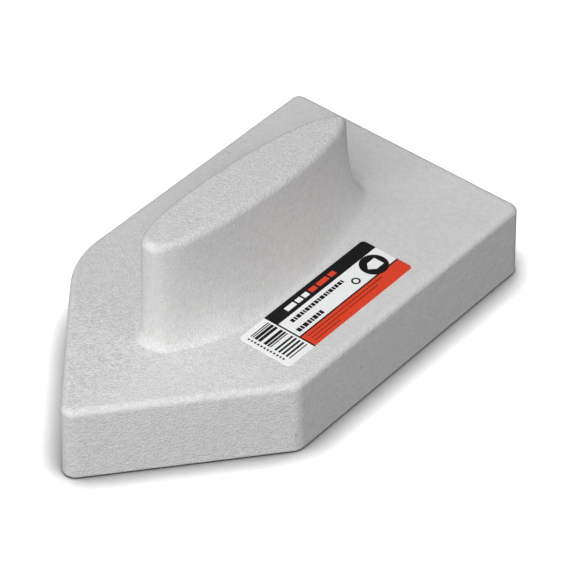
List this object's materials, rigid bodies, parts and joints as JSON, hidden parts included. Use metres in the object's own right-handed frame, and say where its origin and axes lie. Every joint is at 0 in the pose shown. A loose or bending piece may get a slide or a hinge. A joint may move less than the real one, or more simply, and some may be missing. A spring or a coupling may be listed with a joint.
{
  "type": "pointed plastering float",
  "caption": "Pointed plastering float in light bead foam: thick flat plate with an arrow-shaped nose, block handle moulded on its back, printed label beside the handle.",
  "frame": {"origin": "centre of the overall box in plan, on the flat working face", "axes": "+X along the tool towards its nose, +Y towards the long side that carries the label, +Z out of the back of the plate, up through the handle"},
  "size_m": [0.25, 0.1424, 0.1003],
  "materials": {
    "bead_foam": "moulded expanded polystyrene, fine orange-peel skin",
    "label_film": "satin printed film",
    "black_ink": "satin print",
    "red_ink": "satin print"
  },
  "bodies": {
    "root": {"plate": "bead_foam", "handle": "bead_foam", "label_film": "label_film", "label_black_print": "black_ink", "label_red_panel": "red_ink", "label_barcode": "black_ink", "label_marks": "black_ink", "label_emblem": "black_ink"}
  },
  "joints": []
}
